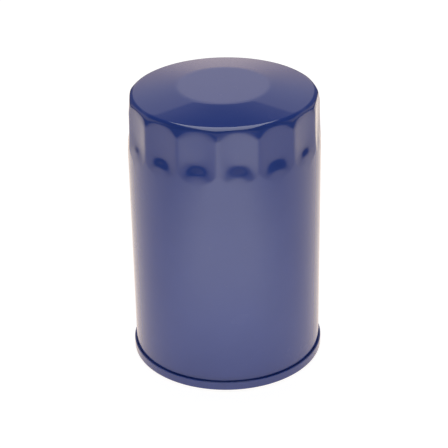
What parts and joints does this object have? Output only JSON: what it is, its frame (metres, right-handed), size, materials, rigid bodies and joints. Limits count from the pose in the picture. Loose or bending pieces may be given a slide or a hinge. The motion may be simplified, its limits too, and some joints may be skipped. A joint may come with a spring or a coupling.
{
  "type": "oil filter",
  "caption": "Spin-on engine oil filter: fluted blue steel can seamed to a threaded base with a gasket, holding a sprung pleated element and a bypass valve.",
  "frame": {"origin": "centre of the gasket's sealing face, on the filter's axis", "axes": "+Z along the axis from the open threaded end to the domed end; -Y is 7.8 degrees short of the middle of one of the can's flats"},
  "size_m": [0.0952, 0.0952, 0.1425],
  "materials": {
    "blue_paint": "gloss dark blue baked enamel over drawn steel",
    "seam_compound": "matt",
    "nitrile_rubber": "satin moulded black, lightly oiled",
    "zinc_plate": "satin zinc plated pressing",
    "silicone_rubber": "matt moulded orange",
    "spring_steel": "drawn wire, lightly oiled",
    "tinplate": "bright tinplate",
    "plastisol": "cured red plastisol adhesive",
    "filter_paper": "resin treated cellulose, matt"
  },
  "bodies": {
    "housing": {"canister": "blue_paint", "seam_lid": "blue_paint", "seam_sealant": "seam_compound", "gasket": "nitrile_rubber", "base_plate": "zinc_plate", "anti_drainback_valve": "silicone_rubber", "valve_backing_washer": "zinc_plate", "hold_down_spring": "spring_steel"},
    "element": {"lower_end_cap": "tinplate", "lower_potting": "plastisol", "centre_tube": "tinplate", "pleated_media": "filter_paper", "media_clip": "tinplate", "upper_potting": "plastisol", "upper_end_cap": "tinplate", "bypass_seat": "zinc_plate", "bypass_cage": "zinc_plate", "bypass_spring": "spring_steel"},
    "bypass_valve": {"bypass_poppet": "tinplate", "bypass_seal": "nitrile_rubber"}
  },
  "joints": [
    {"name": "element_float", "type": "slide", "parent": "housing", "child": "element", "axis": [0, 0, 1], "range_m": [0, 0.004], "stiffness_N_per_m": 5000, "springref_m": -0.008, "deforming": ["hold_down_spring"]},
    {"name": "bypass_opening", "type": "slide", "parent": "element", "child": "bypass_valve", "axis": [0, 0, -1], "range_m": [0, 0.004], "stiffness_N_per_m": 2000, "springref_m": -0.008, "deforming": ["bypass_spring"]}
  ]
}
